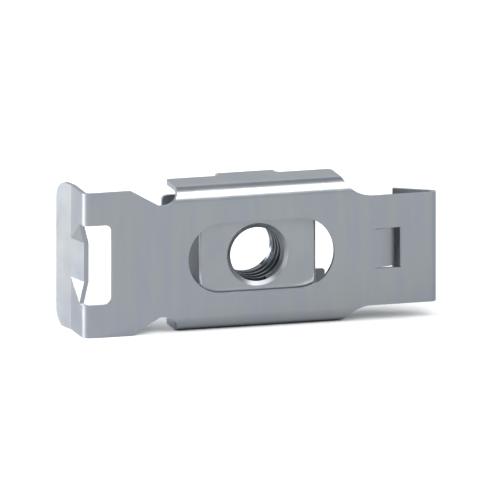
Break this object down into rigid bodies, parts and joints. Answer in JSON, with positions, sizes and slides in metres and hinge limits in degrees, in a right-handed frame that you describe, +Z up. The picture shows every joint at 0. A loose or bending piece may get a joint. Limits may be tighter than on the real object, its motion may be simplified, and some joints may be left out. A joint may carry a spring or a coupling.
{
  "type": "rack cage nut",
  "caption": "Clip-on rack cage nut: a folded strip of zinc-plated spring steel holds a loose tapped block behind an obround screw window.",
  "frame": {"origin": "centre of the nut's thread, halfway through the nut", "axes": "+X along the strip from the lip to the tail; -Y out of the front face, along the thread, the way the screw leaves; +Z up"},
  "size_m": [0.0353, 0.0072, 0.0138],
  "materials": {
    "spring_clip": "satin zinc plate on spring steel",
    "nut": "satin zinc plate on steel"
  },
  "bodies": {
    "clip": {"spring_clip": "spring_clip"},
    "nut": {"nut": "nut"}
  },
  "joints": [
    {"name": "nut_float", "type": "slide", "parent": "clip", "child": "nut", "axis": [1, 0, 0], "range_m": [-0.00217, 0.00253]}
  ]
}
